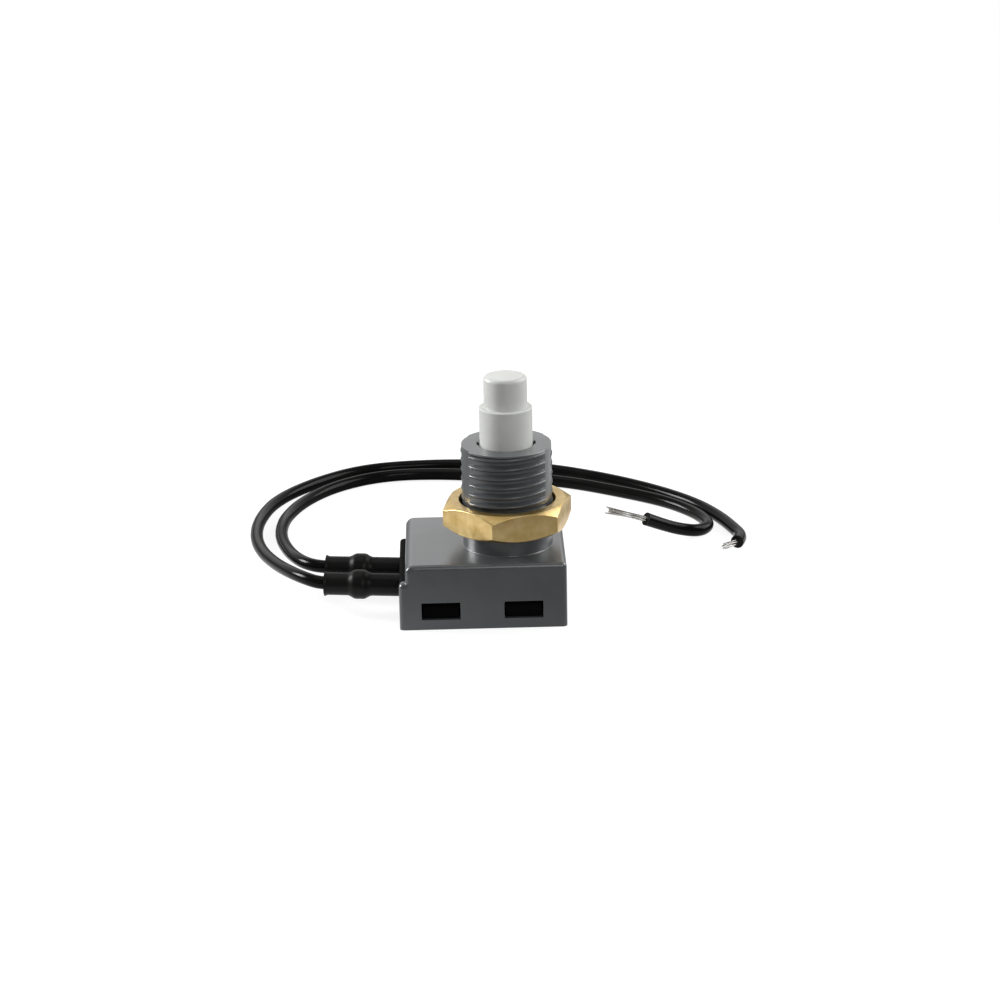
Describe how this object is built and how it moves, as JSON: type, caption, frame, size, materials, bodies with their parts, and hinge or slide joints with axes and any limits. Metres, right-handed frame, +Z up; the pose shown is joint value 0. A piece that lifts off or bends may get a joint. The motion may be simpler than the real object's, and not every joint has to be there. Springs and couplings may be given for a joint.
{
  "type": "panel-mount push-button switch",
  "caption": "Push-on, push-off panel switch: grey moulded housing with threaded bushing and hex nut, stepped push button and sleeved wire leads.",
  "frame": {"origin": "on the bushing's axis, in the plane of the underside", "axes": "+Z up the bushing through the button, -Y out of a long wall with latch windows, leads leave at -X"},
  "size_m": [0.0699, 0.066, 0.0317],
  "materials": {
    "body_plastic": "satin",
    "base_plastic": "satin",
    "nut_brass": "satin",
    "plunger_plastic": "satin",
    "rotor_plastic": "satin",
    "contact_sheet": "satin",
    "terminal_sheet": "satin",
    "contact_silver": "polished",
    "spring_wire": "polished",
    "splice_metal": "satin",
    "tinned_copper": "satin",
    "shrink_sleeve": "satin",
    "lead_insulation": "gloss"
  },
  "bodies": {
    "housing": {"housing": "body_plastic", "base": "base_plastic", "return_spring": "spring_wire", "terminal_front": "terminal_sheet", "terminal_rear": "terminal_sheet", "contact_front": "contact_silver", "contact_rear": "contact_silver", "pigtail_front": "lead_insulation", "pigtail_rear": "lead_insulation", "pigtail_core_front": "tinned_copper", "pigtail_core_rear": "tinned_copper", "splice_front": "splice_metal", "splice_rear": "splice_metal", "sleeve_front": "shrink_sleeve", "sleeve_rear": "shrink_sleeve", "lead_front": "lead_insulation", "lead_rear": "lead_insulation", "lead_tail_front": "tinned_copper", "lead_tail_rear": "tinned_copper", "conductor_front": "tinned_copper", "conductor_rear": "tinned_copper"},
    "plunger": {"plunger": "plunger_plastic"},
    "rotor": {"index_rotor": "rotor_plastic", "contact_star": "contact_sheet"},
    "nut": {"mounting_nut": "nut_brass"}
  },
  "joints": [
    {"name": "plunger_press", "type": "slide", "parent": "housing", "child": "plunger", "axis": [0, 0, -1], "range_m": [0, 0.003], "stiffness_N_per_m": 800, "springref_m": -0.004, "deforming": ["return_spring"]},
    {"name": "rotor_index", "type": "hinge", "parent": "housing", "child": "rotor", "pos_m": [0, 0, 0.0044], "axis": [0, 0, 1], "range_deg": [0, 45]},
    {"name": "nut_travel", "type": "slide", "parent": "housing", "child": "nut", "axis": [0, 0, 1], "range_m": [-0.00258, 0.0075]}
  ],
  "couplings": [
    {"joint": "rotor_index", "follows": "plunger_press", "rad_per_m": 261.79}
  ]
}
